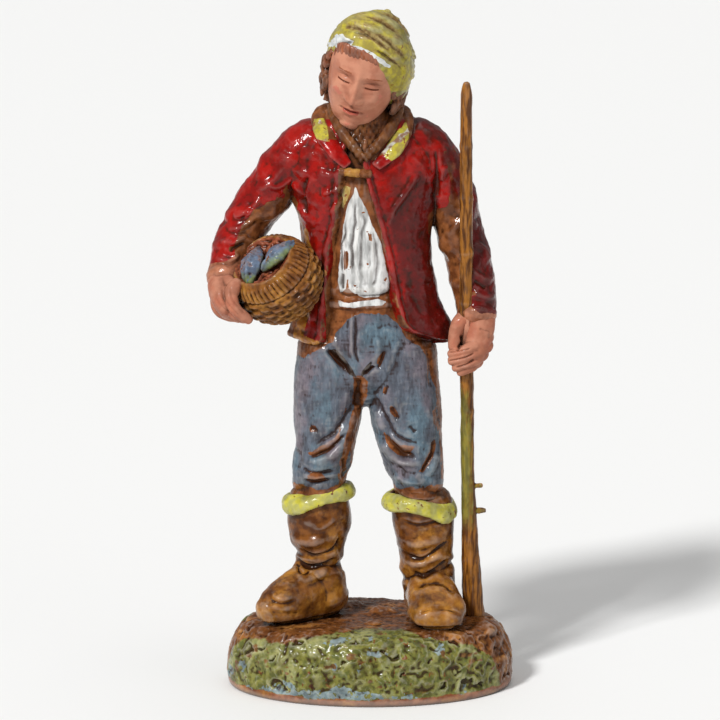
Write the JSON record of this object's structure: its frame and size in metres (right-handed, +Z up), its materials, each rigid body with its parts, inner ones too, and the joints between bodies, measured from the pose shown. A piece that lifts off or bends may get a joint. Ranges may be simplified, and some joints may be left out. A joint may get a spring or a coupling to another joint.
{
  "type": "nativity figurine",
  "caption": "Small painted nativity figurine of a fisherman with a basket of fish and a staff, moulded in one piece with its oval ground base.",
  "frame": {"origin": "centre of the base's flat underside", "axes": "+Z up through the figure, which faces -Y; +X is towards its staff hand"},
  "size_m": [0.0444, 0.0293, 0.0993],
  "materials": {
    "painted_resin": "brown moulded resin, hand-painted in red, grey-blue, yellow-green, white and flesh, and varnished"
  },
  "bodies": {
    "root": {"fisherman_figurine": "painted_resin"}
  },
  "joints": []
}
